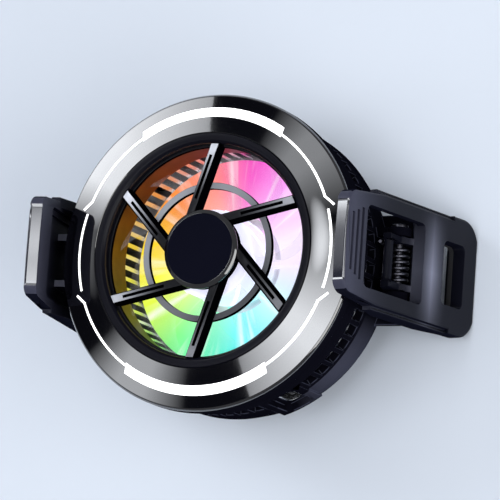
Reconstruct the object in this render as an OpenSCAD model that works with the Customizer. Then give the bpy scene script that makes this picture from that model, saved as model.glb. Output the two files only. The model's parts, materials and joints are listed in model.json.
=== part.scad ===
// Clip-on phone cooler: a fan behind a grille, a finned heat sink, a thermoelectric module with
// a cold plate behind it, and two sprung claws that grip a phone by its long edges.
// +Z is the fan's axis, towards the front. The cooler lies on the tips of its claws, at Z = 0.
// All lengths are in millimetres.

/* [Body] */
// Outside diameter of the front bezel
bezel_d = 60; // [58:0.5:66]
// Diameter of the fan opening
opening_d = 40.6; // [38:0.2:42]
// Height of the bezel's side wall
bezel_side_h = 3.2; // [2.8:0.1:4.5]
// Rise of the bezel's cone from its outer edge to its lip
bezel_rise = 2; // [1.2:0.1:3]
// Wall thickness of the bezel
bezel_t = 1.6; // [1.2:0.1:2]
// Chamfer along the bezel's edges
bezel_chamfer = 0.4; // [0.2:0.05:0.6]
// Step inwards from the bezel's edge to the vent ring
ring_step = 0.7; // [0.4:0.1:1.2]
// Wall thickness of the vent ring and the rear shell
wall_t = 1.6; // [1.2:0.1:1.8]
// Height of the cold face above the claw tips
phone_room = 9.7; // [8.5:0.1:13]
// Distance by which the cold face stands out of the rear shell
plate_proud = 0.6; // [0.5:0.1:1]

/* [Grille] */
// Diameter of the hub cap's base
hub_d = 15; // [13:0.5:18]
// Diameter of the hub cap's flat face
hub_flat_d = 13.3; // [11:0.1:14.5]
// Height of the hub cap
hub_cap_h = 0.8; // [0.5:0.1:1.5]
// Number of spokes
spoke_count = 6; // [4:1:8]
// Direction of the first spoke
spoke_turn = 12.9; // [0:0.1:30]
// Distance of each spoke's centreline from the fan's axis
spoke_offset = 4.9; // [3:0.1:6]
// Width of a spoke at its foot
spoke_w = 2.2; // [1.8:0.1:3]
// Width of a spoke's front face
spoke_face_w = 1.45; // [1.2:0.05:2]
// Height of a spoke
spoke_h = 2.3; // [1.6:0.1:3]
// Width of the groove along a spoke
groove_w = 0.5; // [0.3:0.05:0.8]
// Depth of the groove along a spoke
groove_depth = 0.7; // [0.4:0.1:1.2]
// Mean diameter of the mid ring
mid_ring_d = 25.2; // [22:0.1:28]
// Width of the mid ring
mid_ring_w = 1.2; // [1:0.1:2.5]
// Height of the mid ring
mid_ring_h = 1; // [0.6:0.1:1.5]

/* [Light lines] */
// Distance of the lines inside the bezel's edge
line_inset = 4.1; // [3.6:0.1:5]
// Width of the narrow lines
line_w = 0.6; // [0.4:0.05:1]
// Width of the wide stretches
wide_w = 1.8; // [1:0.1:2.2]
// Angle that a wide stretch spans
wide_span = 68; // [40:1:90]
// Angle that a whole top or bottom line spans
line_span = 136; // [120:1:140]
// Distance by which a line's end kinks outwards
kink_out = 1.1; // [0.5:0.1:1.3]
// Angle that a kink takes
kink_span = 4; // [2:0.5:5]
// Angle that a side line spans
side_span = 33; // [20:1:34]
// Height of the lines above the cone
line_proud = 0.12; // [0:0.02:0.3]

/* [Fan] */
// Number of blades
blade_count = 9; // [5:1:11]
// Height of the blades
blade_h = 6.6; // [5:0.1:7]
// Thickness of a blade
blade_t = 0.9; // [0.6:0.1:1.5]
// Turn of a blade from its foot to its top
blade_twist = 34; // [10:1:50]
// Sweep of a blade from its root to its tip
blade_sweep = 22; // [0:1:40]
// Gap between the blades' tips and the shroud
tip_gap = 0.9; // [0.5:0.1:1.5]
// Outside diameter of the rotor's hub
rotor_hub_d = 16.8; // [15.6:0.1:18]
// Diameter of the fan's shaft
shaft_d = 2; // [1.5:0.1:2.4]

/* [Cooling] */
// Diameter of the cold plate
cold_plate_d = 38.6; // [36:0.2:40]
// Thickness of the cold plate
cold_plate_t = 4.4; // [3.5:0.1:6]
// Width of the thermoelectric module
module_w = 25; // [20:0.5:27]
// Thickness of the thermoelectric module
module_t = 3.4; // [3:0.1:4.5]
// Thickness of each of the module's ceramics
ceramic_t = 0.8; // [0.5:0.1:1]
// Number of pellets along each side of the module
pellet_rows = 6; // [4:1:8]
// Foam left around the module's corners
foam_wall = 0.9; // [0.8:0.1:2]
// Thickness of the heat sink's base
sink_base_t = 2.5; // [2:0.1:4]
// Height of the heat sink's fins
fin_h = 6.4; // [5.5:0.1:9]
// Thickness of a fin
fin_t = 0.8; // [0.5:0.1:1.2]
// Number of fins around the sink
fin_count = 60; // [36:4:72]

/* [Vents] */
// Number of posts around the vent
post_count = 60; // [36:4:72]
// Width of a post
post_w = 0.9; // [0.6:0.1:1.4]
// Height of the ring under the posts
lower_ring_h = 1.2; // [0.8:0.1:2]
// Thickness of the web over the fins
web_t = 1.4; // [1:0.1:2]
// Height of the space for the lamps over the web
led_space_h = 2.4; // [2.2:0.1:3.5]

/* [Port] */
// Direction of the port, from the right claw
port_angle = -63.5; // [-66:0.5:-60]
// Length of the socket's mouth
usb_w = 8.94; // [8.5:0.02:9.2]
// Height of the socket's mouth
usb_h = 3.16; // [2.8:0.02:3.4]
// Depth of the socket
usb_depth = 7; // [6:0.1:7.4]
// Width of the recess around the port
recess_w = 5.5; // [4.8:0.1:6.5]
// Depth of the recess around the port
recess_depth = 1.2; // [0.8:0.1:1.6]

/* [Claws] */
// Distance of the claws' front edges outside the bezel
claw_gap = 2.8; // [2.6:0.1:5]
// Height of the claws' front edges above the bezel's edge
claw_rise = 9.6; // [6:0.1:12]
// Lean of the claws, outwards to the rear
claw_slant = 10.1; // [8:0.1:13]
// Thickness of the claws' panels
panel_t = 2.6; // [2.2:0.1:2.7]
// Height of the right claw
right_h = 22.4; // [21:0.2:26]
// Height of the left claw
left_h = 22.4; // [21:0.2:26]
// Length of the right claw's front edge
right_front_w = 13.6; // [11:0.2:18]
// Length of the left claw's front edge
left_front_w = 14.4; // [11:0.2:18]
// Distance of the window behind the front edge
window_start = 6.3; // [6:0.1:7.5]
// Length of the window along the claw
window_len = 19.2; // [16:0.1:20.2]
// Height of the window
window_w = 15.2; // [14:0.1:15.6]
// Thickness of the web that closes the left claw's window
blank_t = 1; // [0.8:0.1:1.4]
// Length of the slot near the tip, along the claw
tip_slot_len = 7.1; // [5:0.1:8]
// Height of the slot near the tip
tip_slot_w = 12; // [8:0.2:14]
// Radius of the corners at the tip
tip_corner_r = 5; // [3:0.1:6]
// Reach of the lip that holds the phone
lip_reach = 3; // [1.5:0.1:4]
// Thickness of the lip that holds the phone
lip_t = 1.7; // [1.2:0.1:2.4]
// Thickness of the rubber jaw pads
pad_t = 1; // [0.6:0.1:1.4]
// Number of grip grooves
grip_count = 3; // [2:1:3]

/* [Hinges] */
// Diameter of the hinge pins
pin_d = 2; // [1.6:0.1:2.2]
// Distance of the pins outside the bezel
pin_out = 2; // [1.8:0.1:2.2]
// Distance of the pins behind the heat sink's floor
pin_drop = 2.1; // [1.6:0.1:2.8]
// Thickness of the ears on the rear shell
ear_t = 1.6; // [1.2:0.1:1.8]
// Thickness of the foot under each hinge
foot_t = 1.4; // [1:0.1:1.6]
// Thickness of the lugs on the claws
lug_t = 1.3; // [1:0.1:1.5]
// Space between a claw's two lugs
lug_space = 7.6; // [7.4:0.1:8]
// Wall around the pin in the ears and lugs
hinge_wall = 1.3; // [1:0.05:1.35]
// Wire diameter of the torsion springs
spring_wire_d = 0.65; // [0.5:0.01:0.68]
// Mean coil diameter of the torsion springs
spring_coil_d = 3.8; // [3.4:0.1:4]
// Number of turns of the torsion springs
spring_turns = 6; // [4:1:6]

/* [Fits] */
// Radial clearance of the claws on their pins
hinge_gap = 0.05; // [0.02:0.01:0.1]
// Radial clearance of the shaft in its bearing
bearing_gap = 0.03; // [0.01:0.01:0.1]
// Clearance around pieces that seat in one another
seat_gap = 0.05; // [0.02:0.01:0.1]
// Clearance between the sides of lugs and ears
side_gap = 0.2; // [0.1:0.05:0.3]
// Free space around inner pieces
free_gap = 0.3; // [0.2:0.05:0.4]

/* [Hidden] */
$fn = 96;
EPS = 0.01;

// Radii, from the outside in
bezel_r = bezel_d / 2;
ring_r = bezel_r - ring_step;
post_r = ring_r - 0.4;
shell_r = ring_r - 0.7;
shell_in_r = shell_r - wall_t;
shell_back_r = shell_r - 1;
shell_chamfer = 0.9;
sink_r = shell_in_r - free_gap;
lower_ring_in_r = sink_r + free_gap;
opening_r = opening_d / 2;
lip_w = 1.9;
lip_r = opening_r + lip_w;
shroud_t = 1.4;
rim_r = opening_r + 0.9;
rim_in_r = opening_r - 0.5;
fin_in_r = opening_r + 0.5;
fan_r = opening_r - tip_gap;
cold_r = cold_plate_d / 2;
foam_hole_w = module_w + 2 * free_gap;
foam_r = norm([foam_hole_w, foam_hole_w]) / 2 + foam_wall;
hub_r = hub_d / 2;
rotor_hub_r = rotor_hub_d / 2;
rotor_wall_t = 0.8;
shaft_r = shaft_d / 2;

// Levels, from the claw tips up
z_cold = phone_room;
z_back = z_cold + plate_proud;
z_module = z_cold + cold_plate_t;
z_sink = z_module + module_t;
z_floor = z_sink + sink_base_t;
z_web = z_floor + fin_h;
z_board = z_web + web_t;
z_ring_top = z_board + led_space_h;
z_edge = z_ring_top + bezel_side_h;
z_lip = z_edge + bezel_rise;
z_seam = z_floor - 0.4;
z_lower = z_seam + lower_ring_h;
z_post_top = z_web - 0.8;
z_shroud = z_edge - 0.6;
rim_h = 0.8;
z_rim = z_shroud + rim_h;
z_shell_back = z_back + wall_t;
z_shell_bend = z_seam - 4.2;
z_claw = z_edge + claw_rise;

// Boards, lamps and screws
board_t = 1;
led_h = 1;
led_w = 1.6;
led_count = 16;
z_led = z_board + board_t + led_h;
screw_r = 0.9;
screw_head_r = 1.8;
screw_head_h = 1.2;
screw_gap = 0.2;
screw_boss_r = 2.2;
case_screw_r = shell_in_r - 3;
case_screw_turn = 45;
plate_screw_r = module_w / 2 + 3.7;
screw_count = 4;

// Motor
z_rotor_top = z_shroud - mid_ring_h - 0.6;
z_rotor_foot = z_floor + 2.8;
rotor_top_t = 1.2;
tube_r = shaft_r + 2.1;
bearing_r = shaft_r + 1.07;
z_tube_top = z_rotor_top - 2.6;
motor_foot_r = tube_r + 2.3;
motor_foot_t = 1;
motor_board_r = rotor_hub_r - 0.4;
plate_in_r = motor_board_r + 1.5;
light_plate_t = 0.9;
magnet_t = 0.7;
magnet_r = rotor_hub_r - rotor_wall_t - seat_gap;
stator_r = magnet_r - magnet_t - 0.4;
pole_count = 6;
pole_w = 1.6;
shoe_t = 0.9;
shoe_half_turn = 20;
coil_t = 0.7;
coil_in_r = tube_r + 1.1;
coil_half_w = pole_w / 2 + coil_t;
coil_depth = sqrt(pow(stator_r - shoe_t, 2) - pow(coil_half_w, 2)) - 0.1 - coil_in_r;
z_stator = z_rotor_foot + 1;
stator_h = z_tube_top - z_stator - 0.6;

// Port
port_wall_in_r = shell_r - recess_depth - 2;
usb_mouth_r = shell_r - recess_depth;
port_r = shell_r + 0.4;
seam_line = 0.1;
usb_wall_t = 0.3;
z_usb_foot = z_seam - usb_w / 2;
port_block_w = recess_w + 3;
board_in_r = foam_r + 1.5;
board_out_r = port_wall_in_r - 0.2;
board_from = port_angle - 34;
board_to = port_angle + 11;

// Claws, along the panel from the front edge and inwards from the outer face
claw_x = bezel_r + claw_gap;
claw_len = z_claw / cos(claw_slant);
window_end = window_start + window_len;
window_corner_r = 1.2;
relief_w = 1;
relief_at = 1.6;
ledge_w = 0.8;
shoulder_inset = 1.6;
flange_from = 10.2;
tail_u = claw_len - 8.5;
tip_slot_end = claw_len - 4.45;
flange_w = 2;
flange_depth = 4.4;
pad_from = claw_len - 13;
pad_to = claw_len - lip_t - 0.7;
pad_inset = 2.6;
grip_start = 1.9;
grip_pitch = 1.5;
grip_w = 0.75;
grip_depth = 0.5;

// Hinges
pin_r = pin_d / 2;
pin_x = bezel_r + pin_out;
pin_z = z_floor - pin_drop;
boss_r = pin_r + hinge_wall;
lug_y = lug_space / 2;
ear_y = lug_y + lug_t + side_gap;
pin_end_y = ear_y + ear_t + seat_gap;
pin_head_r = pin_r + 0.6;
pin_head_h = 0.6;
pin_v = (claw_x - pin_x) * cos(claw_slant) + (z_claw - pin_z) * sin(claw_slant);
pin_u = (pin_x - claw_x) * sin(claw_slant) + (z_claw - pin_z) * cos(claw_slant);
bar_r = 0.9;
bar_u = pin_u - 4.8;
bar_v = pin_v - 1;
left_lug_u = window_start + 9;
z_foot = pin_z - boss_r - 2;
foot_half = window_w / 2 + 2.8;
foot_corner = 1.5;
foot_gap = 0.6;
foot_x = claw_x + (z_claw - z_foot) * tan(claw_slant) - flange_depth / cos(claw_slant) - foot_gap;

// Springs: the path runs from the claw's leg, around the pin, to the body's leg
spring_r = spring_coil_d / 2;
wire_r = spring_wire_d / 2;
rings_per_turn = 8;
wire_sides = 6;
spring_y = lug_y - wire_r - 0.15;
bar_dx = claw_x + bar_u * sin(claw_slant) - bar_v * cos(claw_slant) - pin_x;
bar_dz = z_claw - bar_u * cos(claw_slant) - bar_v * sin(claw_slant) - pin_z;
bar_dist = norm([bar_dx, bar_dz]);
leg_touch_r = bar_r + wire_r + 0.15;
leg_turn = acos((spring_r - leg_touch_r) / bar_dist);
coil_from = atan2(bar_dz, bar_dx) + leg_turn;
coil_to = 140 + 360 * spring_turns;
claw_leg_len = bar_dist * sin(leg_turn) + 1;
leg_end_x = sqrt(pow(shell_r, 2) - pow(spring_y, 2)) + wire_r + 0.15 - pin_x;
body_leg_len = (spring_r * cos(coil_to) - leg_end_x) / sin(coil_to);
coil_steps = ceil((coil_to - coil_from) / 360 * rings_per_turn);

black = [0.05, 0.055, 0.09];
dark = [0.09, 0.095, 0.13];
metal = [0.75, 0.76, 0.78];
copper = [0.72, 0.45, 0.25];
board_green = [0.08, 0.3, 0.16];
lit_white = [0.96, 0.97, 1];
rubber = [0.13, 0.13, 0.14];

// Height of the bezel's cone at a radius
function cone_z(r) = z_edge + bezel_rise * (bezel_r - r) / (bezel_r - lip_r);

// A point of a claw's side view: u along the panel, v inwards
function claw_point(u, v) = [-v, -u];

// One point of a spring's path, with the direction of its section
function leg_point(angle, along, y) = [
    spring_r * cos(angle) + along * sin(angle),
    y,
    spring_r * sin(angle) - along * cos(angle),
    angle
];

function coil_point(i) =
    let (share = i / coil_steps, angle = coil_from + (coil_to - coil_from) * share)
    [spring_r * cos(angle), spring_y * (1 - 2 * share), spring_r * sin(angle), angle];

spring_path = concat(
    [leg_point(coil_from, claw_leg_len, spring_y), leg_point(coil_from, claw_leg_len / 2, spring_y)],
    [for (i = [0:coil_steps]) coil_point(i)],
    [leg_point(coil_to, -body_leg_len / 2, -spring_y), leg_point(coil_to, -body_leg_len, -spring_y)]
);

function path_centre(i) = [spring_path[i][0], spring_path[i][1], spring_path[i][2]];

// Least gap of a spring's wire to itself, over points that are not neighbours on the wire
spring_gap = min([
    for (i = [0:len(spring_path) - 1], j = [i + 5:1:len(spring_path) - 1])
        norm(path_centre(i) - path_centre(j))
]) - spring_wire_d;
echo(str("Least gap of a spring to itself: ", spring_gap, " mm"));

// Helpers

module ring(r_in, r_out, z0, z1) {
    translate([0, 0, z0])
        difference() {
            cylinder(r = r_out, h = z1 - z0);
            translate([0, 0, -EPS])
                cylinder(r = r_in, h = z1 - z0 + 2 * EPS);
        }
}

module sector(r_in, r_out, from, to) {
    steps = 4;
    intersection() {
        difference() {
            circle(r = r_out);
            circle(r = r_in);
        }
        polygon(concat([[0, 0]], [
            for (i = [0:steps])
                let (a = from + (to - from) * i / steps)
                2 * r_out * [cos(a), sin(a)]
        ]));
    }
}

module bar_2d(p, q, w) {
    translate(p)
        rotate(atan2(q[1] - p[1], q[0] - p[0]))
            translate([-w / 2, -w / 2])
                square([norm(q - p) + w, w]);
}

module rounded(w, l, r) {
    square([w - 2 * r, l], center = true);
    square([w, l - 2 * r], center = true);
    for (x = [-1, 1], y = [-1, 1])
        translate([x * (w / 2 - r), y * (l / 2 - r)])
            circle(r = r);
}

module stadium(w, l) {
    square([w, l - w], center = true);
    for (side = [-1, 1])
        translate([0, side * (l - w) / 2])
            circle(d = w);
}

module around(count, r, turn = 0) {
    for (i = [0:count - 1])
        rotate(turn + i * 360 / count)
            translate([r, 0, 0])
                children();
}

// A flat outline in Y and Z, extruded outwards from the axis along the port's direction
module along_port(r0, r1) {
    rotate(port_angle)
        translate([r0, 0, z_seam])
            rotate([90, 0, 90])
                linear_extrude(r1 - r0)
                    children();
}

module screw(head_z, tip_z) {
    difference() {
        union() {
            translate([0, 0, head_z - screw_head_h])
                cylinder(r = screw_head_r, h = screw_head_h);
            translate([0, 0, head_z - EPS])
                cylinder(r = screw_r, h = tip_z - head_z + EPS);
        }
        for (turn = [0, 90])
            rotate(turn)
                translate([-1.1, -0.2, head_z - screw_head_h - EPS])
                    cube([2.2, 0.4, 0.6]);
    }
}

// Housing

module screw_places() {
    around(screw_count, case_screw_r, case_screw_turn)
        children();
}

module port_block(z0, z1) {
    intersection() {
        rotate(port_angle)
            translate([port_wall_in_r, -port_block_w / 2, z0])
                cube([bezel_r - port_wall_in_r, port_block_w, z1 - z0]);
        cylinder(r = port_r, h = z_edge);
    }
}

module port_cut() {
    along_port(usb_mouth_r, bezel_r)
        rounded(recess_w, usb_w + 1.4, 1);
    along_port(0.8 * usb_mouth_r, bezel_r)
        stadium(usb_h + 2 * seat_gap, usb_w + 2 * seat_gap);
}

module ear(y0) {
    root_x = sqrt(pow(shell_in_r, 2) - pow(ear_y, 2)) + free_gap;
    translate([0, y0 + ear_t, 0])
        rotate([90, 0, 0])
            linear_extrude(ear_t) {
                polygon([
                    [root_x, z_seam - 0.6],
                    [pin_x, pin_z + 0.9 * boss_r],
                    [pin_x, pin_z - 0.9 * boss_r],
                    [root_x, pin_z - 4.5]
                ]);
                translate([pin_x, pin_z])
                    circle(r = boss_r);
            }
}

// A shelf that joins the ears of one hinge and closes the view through the claw's window
module hinge_foot() {
    start_x = 0.8 * shell_in_r;
    translate([0, 0, z_foot - foot_t])
        linear_extrude(foot_t)
            difference() {
                polygon([
                    [start_x, foot_half],
                    [foot_x - foot_corner, foot_half],
                    [foot_x, foot_half - foot_corner],
                    [foot_x, -foot_half + foot_corner],
                    [foot_x - foot_corner, -foot_half],
                    [start_x, -foot_half]
                ]);
                circle(r = shell_in_r);
            }
}

module rear_shell() {
    z_boss = z_shell_back - wall_t / 2;
    color(black)
        difference() {
            union() {
                rotate_extrude()
                    polygon([
                        [shell_r, z_seam],
                        [shell_r, z_shell_bend],
                        [shell_back_r, z_back + shell_chamfer],
                        [shell_back_r - shell_chamfer, z_back],
                        [cold_r + seat_gap, z_back],
                        [cold_r + seat_gap, z_shell_back],
                        [shell_back_r - wall_t, z_shell_back],
                        [shell_in_r, z_shell_bend],
                        [shell_in_r, z_seam]
                    ]);
                screw_places()
                    translate([0, 0, z_boss])
                        cylinder(r = screw_boss_r, h = z_sink - z_boss);
                port_block(z_usb_foot - 1.6, z_seam - seam_line);
                for (turn = [board_from + 5, board_to - 2])
                    rotate(turn)
                        translate([(board_in_r + board_out_r) / 2, 0, z_boss])
                            cylinder(r = 1.1, h = z_usb_foot - board_t - z_boss);
                for (side = [0, 1])
                    mirror([side, 0, 0]) {
                        hinge_foot();
                        ear(ear_y);
                        ear(-ear_y - ear_t);
                    }
            }
            screw_places() {
                translate([0, 0, z_back - EPS])
                    cylinder(r = screw_head_r + screw_gap, h = screw_head_h + EPS);
                translate([0, 0, z_back])
                    cylinder(r = screw_r + screw_gap, h = z_sink - z_back + 1);
            }
            for (side = [-1, 1])
                translate([side * pin_x, 0, pin_z])
                    rotate([90, 0, 0])
                        cylinder(r = pin_r + seat_gap, h = 2 * pin_end_y, center = true);
            port_cut();
        }
}

module vent_ring() {
    ring_in_r = ring_r - wall_t;
    color(black)
        difference() {
            union() {
                rotate_extrude()
                    polygon([
                        [opening_r, z_web],
                        [ring_in_r, z_web],
                        [ring_in_r, z_post_top],
                        [ring_r, z_post_top],
                        [ring_r, z_ring_top],
                        [ring_in_r, z_ring_top],
                        [ring_in_r, z_board],
                        [opening_r + shroud_t, z_board],
                        [opening_r + shroud_t, z_shroud],
                        [opening_r, z_shroud]
                    ]);
                ring(lower_ring_in_r, post_r - 0.2, z_seam, z_lower);
                for (i = [0:post_count - 1])
                    rotate(i * 360 / post_count)
                        translate([ring_in_r, -post_w / 2, z_lower - EPS])
                            cube([post_r - ring_in_r, post_w, z_post_top - z_lower + 2 * EPS]);
                screw_places()
                    translate([0, 0, z_floor])
                        cylinder(r = screw_boss_r, h = z_web - z_floor + EPS);
                port_block(z_seam, z_post_top + EPS);
            }
            screw_places()
                translate([0, 0, z_floor - 1])
                    cylinder(r = screw_r + seat_gap, h = z_web - z_floor);
            port_cut();
        }
}

// Outline of a top or bottom light line, turned to its place
module long_line_2d(turn, grow) {
    line_r = bezel_r - line_inset;
    wide_in_r = line_r - 0.5;
    end = line_span / 2;
    w = line_w + 2 * grow;
    rotate(turn) {
        sector(wide_in_r - grow, wide_in_r + wide_w + grow, -wide_span / 2, wide_span / 2);
        sector(line_r - w / 2, line_r + w / 2, -end, end);
        for (side = [-1, 1])
            bar_2d(
                line_r * [cos(end), side * sin(end)],
                (line_r + kink_out) * [cos(end + kink_span), side * sin(end + kink_span)],
                w
            );
    }
}

module side_line_2d(turn, grow) {
    line_r = bezel_r - line_inset;
    w = line_w + 2 * grow;
    rotate(turn)
        sector(line_r - w / 2, line_r + w / 2, -side_span / 2, side_span / 2);
}

module front_bezel() {
    color(black)
        difference() {
            rotate_extrude()
                polygon([
                    [bezel_r - bezel_chamfer, z_ring_top],
                    [bezel_r, z_ring_top + bezel_chamfer],
                    [bezel_r, z_edge - bezel_chamfer],
                    [bezel_r - bezel_chamfer, cone_z(bezel_r - bezel_chamfer)],
                    [lip_r, z_lip],
                    [lip_r, z_lip - bezel_t],
                    [bezel_r - bezel_t, z_edge - bezel_t],
                    [bezel_r - bezel_t, z_ring_top]
                ]);
            translate([0, 0, z_board])
                linear_extrude(z_lip - z_board + 1)
                    for (turn = [0, 180]) {
                        long_line_2d(turn + 90, seat_gap);
                        side_line_2d(turn, seat_gap);
                    }
        }
}

module light_guide() {
    intersection() {
        translate([0, 0, z_led])
            linear_extrude(z_lip - z_led + 1)
                children();
        rotate_extrude()
            polygon([
                [lip_r, z_board],
                [bezel_r, z_board],
                [bezel_r, z_edge + line_proud],
                [lip_r, z_lip + line_proud]
            ]);
    }
}

module top_light_guide() {
    color(lit_white)
        light_guide()
            long_line_2d(90, 0);
}

module bottom_light_guide() {
    color(lit_white)
        light_guide()
            long_line_2d(-90, 0);
}

module left_light_guide() {
    color(lit_white)
        light_guide()
            side_line_2d(180, 0);
}

module right_light_guide() {
    color(lit_white)
        light_guide()
            side_line_2d(0, 0);
}

module inner_ring() {
    edge = 0.5;
    color(dark)
        rotate_extrude()
            polygon([
                [opening_r, z_rim],
                [opening_r, z_lip - edge],
                [opening_r + edge, z_lip],
                [lip_r - seat_gap, z_lip],
                [lip_r - seat_gap, z_shroud],
                [rim_r + seat_gap, z_shroud],
                [rim_r + seat_gap, z_rim]
            ]);
}

module spoke() {
    cheek_h = spoke_h - 0.8;
    translate([spoke_offset - spoke_w, spoke_offset, z_shroud])
        rotate([90, 0, 90])
            linear_extrude(opening_r)
                polygon([
                    [-spoke_w / 2, 0],
                    [spoke_w / 2, 0],
                    [spoke_w / 2, cheek_h],
                    [spoke_face_w / 2, spoke_h],
                    [-spoke_face_w / 2, spoke_h],
                    [-spoke_w / 2, cheek_h]
                ]);
}

module grille() {
    groove_from = hub_r + 1.2;
    groove_to = opening_r - 3;
    z_groove = z_shroud + spoke_h - groove_depth;
    color(black)
        difference() {
            union() {
                ring(rim_in_r, rim_r, z_shroud, z_rim);
                intersection() {
                    for (i = [0:spoke_count - 1])
                        rotate(spoke_turn + i * 360 / spoke_count)
                            spoke();
                    cylinder(r = opening_r - 0.15, h = z_lip);
                }
                ring(
                    (mid_ring_d - mid_ring_w) / 2,
                    (mid_ring_d + mid_ring_w) / 2,
                    z_shroud - mid_ring_h + 0.2,
                    z_shroud + 0.2
                );
                translate([0, 0, z_shroud + 0.6])
                    cylinder(r = hub_r - 0.3, h = z_lip - z_shroud - 0.6);
            }
            for (i = [0:spoke_count - 1])
                rotate(spoke_turn + i * 360 / spoke_count)
                    translate([groove_from, spoke_offset - groove_w / 2, z_groove])
                        cube([groove_to - groove_from, groove_w, groove_depth + 1]);
        }
}

module hub_cap() {
    cheek_h = 0.25;
    color(dark)
        rotate_extrude()
            polygon([
                [0, z_lip],
                [hub_r, z_lip],
                [hub_r, z_lip + cheek_h],
                [hub_flat_d / 2, z_lip + hub_cap_h],
                [0, z_lip + hub_cap_h]
            ]);
}

module led_board() {
    color(board_green)
        ring(opening_r + shroud_t + free_gap, ring_r - wall_t - free_gap, z_board, z_board + board_t);
}

module bezel_leds() {
    color(lit_white)
        around(led_count, bezel_r - line_inset, 180 / led_count)
            translate([-led_w / 2, -led_w / 2, z_board + board_t])
                cube([led_w, led_w, led_h]);
}

// Cooling stack

module port_space() {
    w = port_block_w + 2 * free_gap;
    rotate(port_angle)
        translate([usb_mouth_r - usb_depth - free_gap, -w / 2, z_usb_foot - 2])
            cube([bezel_r, w, z_post_top - z_usb_foot + 2 + EPS]);
}

module light_plate() {
    color(lit_white)
        difference() {
            ring(plate_in_r, opening_r - 0.2, z_floor, z_floor + light_plate_t);
            port_space();
        }
}

module heat_sink() {
    color(metal)
        difference() {
            union() {
                translate([0, 0, z_sink])
                    cylinder(r = sink_r, h = sink_base_t);
                for (i = [0:fin_count - 1])
                    rotate((i + 0.5) * 360 / fin_count)
                        translate([fin_in_r, -fin_t / 2, z_floor - EPS])
                            cube([sink_r - 0.2 - fin_in_r, fin_t, fin_h + EPS]);
            }
            screw_places() {
                translate([0, 0, z_floor])
                    cylinder(r = screw_boss_r + free_gap, h = fin_h + 1);
                translate([0, 0, z_sink - 1])
                    cylinder(r = screw_r + screw_gap, h = sink_base_t + 2);
            }
            around(screw_count, plate_screw_r)
                translate([0, 0, z_sink - 1])
                    cylinder(r = screw_r + seat_gap, h = sink_base_t + 0.6);
            port_space();
        }
}

module hot_ceramic() {
    color("white")
        translate([-module_w / 2, -module_w / 2, z_sink - ceramic_t])
            cube([module_w, module_w, ceramic_t]);
}

module cold_ceramic() {
    color("white")
        translate([-module_w / 2, -module_w / 2, z_module])
            cube([module_w, module_w, ceramic_t]);
}

module peltier_pellets() {
    pitch = module_w / pellet_rows;
    pellet_w = 0.55 * pitch;
    color("dimgray")
        for (i = [0:pellet_rows - 1], j = [0:pellet_rows - 1])
            translate([
                (i + 0.5) * pitch - (module_w + pellet_w) / 2,
                (j + 0.5) * pitch - (module_w + pellet_w) / 2,
                z_module + ceramic_t
            ])
                cube([pellet_w, pellet_w, module_t - 2 * ceramic_t]);
}

module insulation_ring() {
    color("gray")
        difference() {
            translate([0, 0, z_module])
                cylinder(r = foam_r, h = module_t);
            translate([-foam_hole_w / 2, -foam_hole_w / 2, z_module - 1])
                cube([foam_hole_w, foam_hole_w, module_t + 2]);
            around(screw_count, plate_screw_r)
                translate([0, 0, z_module - 1])
                    cylinder(r = screw_r + screw_gap, h = module_t + 2);
            port_space();
        }
}

module cold_plate() {
    color(metal)
        difference() {
            translate([0, 0, z_cold])
                cylinder(r = cold_r, h = cold_plate_t);
            around(screw_count, plate_screw_r) {
                translate([0, 0, z_cold - 1])
                    cylinder(r = screw_head_r + screw_gap, h = screw_head_h + screw_gap + 1);
                translate([0, 0, z_cold])
                    cylinder(r = screw_r + screw_gap, h = cold_plate_t + 1);
            }
        }
}

module rear_cushion() {
    color(rubber)
        ring(cold_r + free_gap, case_screw_r - screw_head_r - 2 * free_gap, z_cold + 0.1, z_back);
}

module control_board() {
    color(board_green)
        translate([0, 0, z_usb_foot - board_t])
            linear_extrude(board_t)
                sector(board_in_r, board_out_r, board_from, board_to);
}

module control_chips() {
    mid_r = (board_in_r + board_out_r) / 2;
    color("dimgray") {
        rotate(board_from + 4)
            translate([mid_r - 1.25, -1.25, z_usb_foot])
                cube([2.5, 2.5, 0.9]);
        rotate(board_from + 12)
            translate([mid_r, 0, z_usb_foot])
                cylinder(r = 1.3, h = 1.6);
        rotate(board_from + 19)
            translate([mid_r - 1, -0.8, z_usb_foot])
                cube([2, 1.6, 0.8]);
    }
}

module usb_socket() {
    back_r = usb_mouth_r - usb_depth;
    color(metal)
        difference() {
            along_port(back_r, usb_mouth_r)
                stadium(usb_h, usb_w);
            along_port(back_r + 1, usb_mouth_r + 1)
                stadium(usb_h - 2 * usb_wall_t, usb_w - 2 * usb_wall_t);
        }
}

module usb_tongue() {
    color(dark)
        along_port(usb_mouth_r - usb_depth + 1, usb_mouth_r - 0.7)
            square([0.7, usb_w - 2.2], center = true);
}

// Fan and motor

module blade() {
    root_r = rotor_hub_r - rotor_wall_t / 2;
    steps = 6;
    rows = [for (i = [0:steps]) i / steps];
    linear_extrude(blade_h, twist = -blade_twist, slices = 8, $fn = 14)
        polygon(concat(
            [for (s = rows) blade_edge(root_r + (fan_r - root_r) * s, blade_sweep * s * s, -1)],
            [for (i = [steps:-1:0]) blade_edge(
                root_r + (fan_r - root_r) * rows[i], blade_sweep * rows[i] * rows[i], 1)]
        ));
}

function blade_edge(r, turn, side) =
    [r * cos(turn) - side * blade_t / 2 * sin(turn), r * sin(turn) + side * blade_t / 2 * cos(turn)];

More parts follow.
